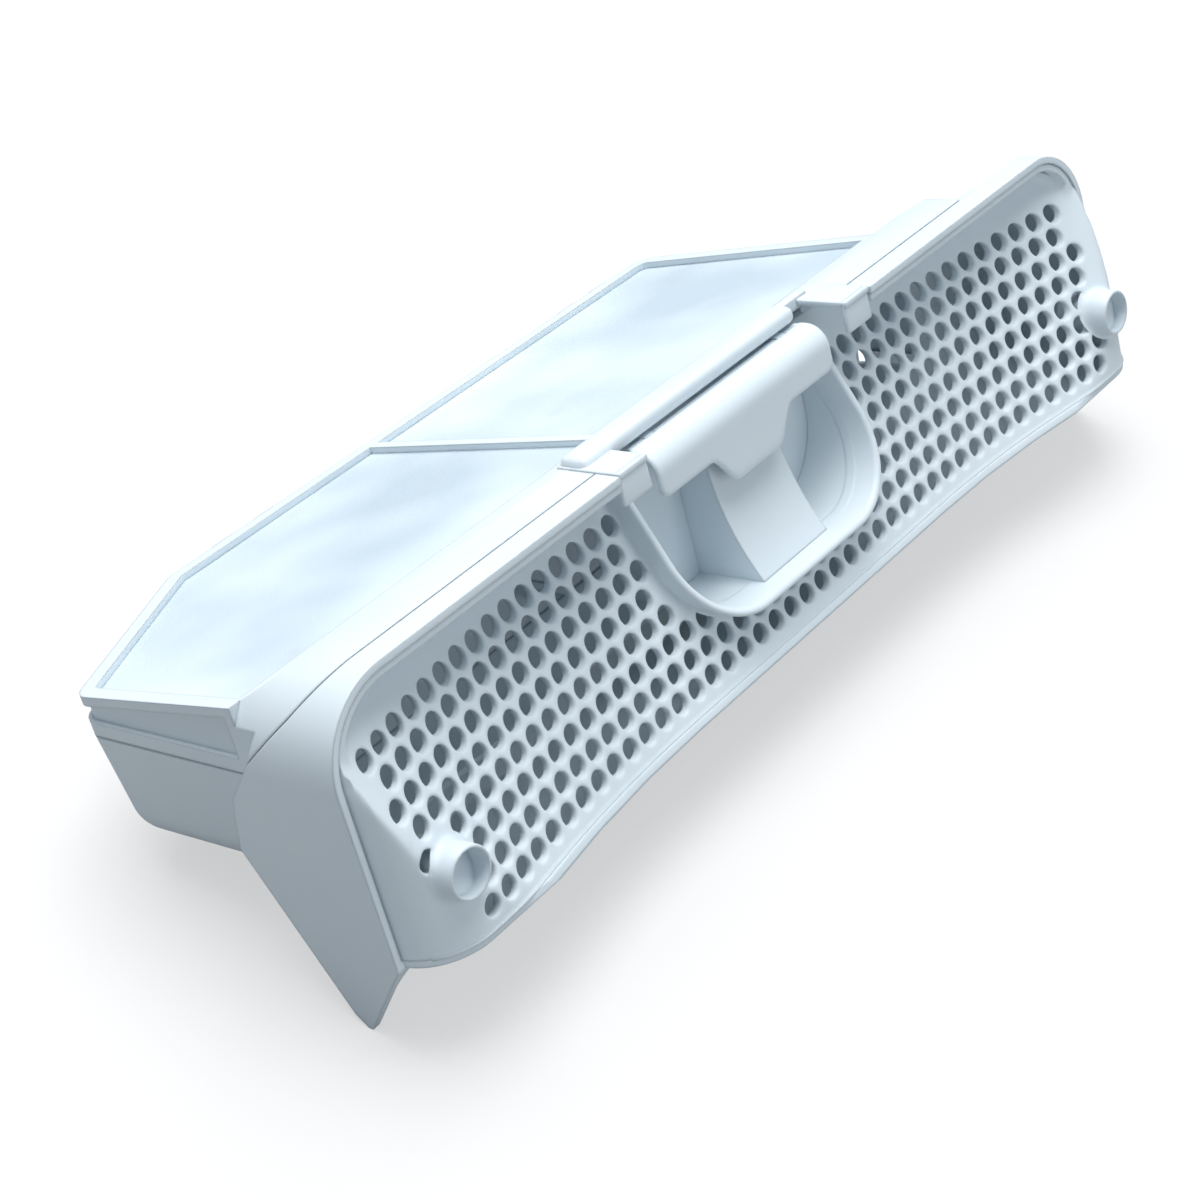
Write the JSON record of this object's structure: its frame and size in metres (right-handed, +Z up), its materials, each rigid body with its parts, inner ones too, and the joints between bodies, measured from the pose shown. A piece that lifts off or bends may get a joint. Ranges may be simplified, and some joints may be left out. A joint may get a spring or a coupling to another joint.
{
  "type": "tumble dryer lint filter",
  "caption": "Lint filter for a tumble dryer: perforated front with a finger grip and latch flap, and a case of fine mesh windows with a hinged lid.",
  "frame": {"origin": "centre of the part's bounding box, at the level of the table it stands on", "axes": "+X along the front to the right, +Y to the back of the case, +Z up; the part leans back as it stands on its two front tips and the back of its tub"},
  "size_m": [0.34, 0.1542, 0.0944],
  "materials": {
    "white_plastic": "satin white moulding",
    "mesh": "fine woven filter mesh",
    "pin_plastic": "smooth"
  },
  "bodies": {
    "housing": {"filter_body": "white_plastic", "grille_panel": "white_plastic", "handle_pocket": "white_plastic", "tub_mesh_left": "mesh", "tub_mesh_right": "mesh", "hinge_pin_left": "pin_plastic", "hinge_pin_right": "pin_plastic"},
    "lid": {"lid_frame": "white_plastic", "lid_mesh_left": "mesh", "lid_mesh_right": "mesh", "latch_pin": "pin_plastic"},
    "flap": {"latch_flap": "white_plastic"}
  },
  "joints": [
    {"name": "lid_hinge", "type": "hinge", "parent": "housing", "child": "lid", "pos_m": [0, 0.07414, 0.02753], "axis": [-1, 0, 0], "range_deg": [0, 110]},
    {"name": "latch_turn", "type": "hinge", "parent": "lid", "child": "flap", "pos_m": [0, -0.03052, 0.0837], "axis": [-1, 0, 0], "range_deg": [0, 30]}
  ]
}
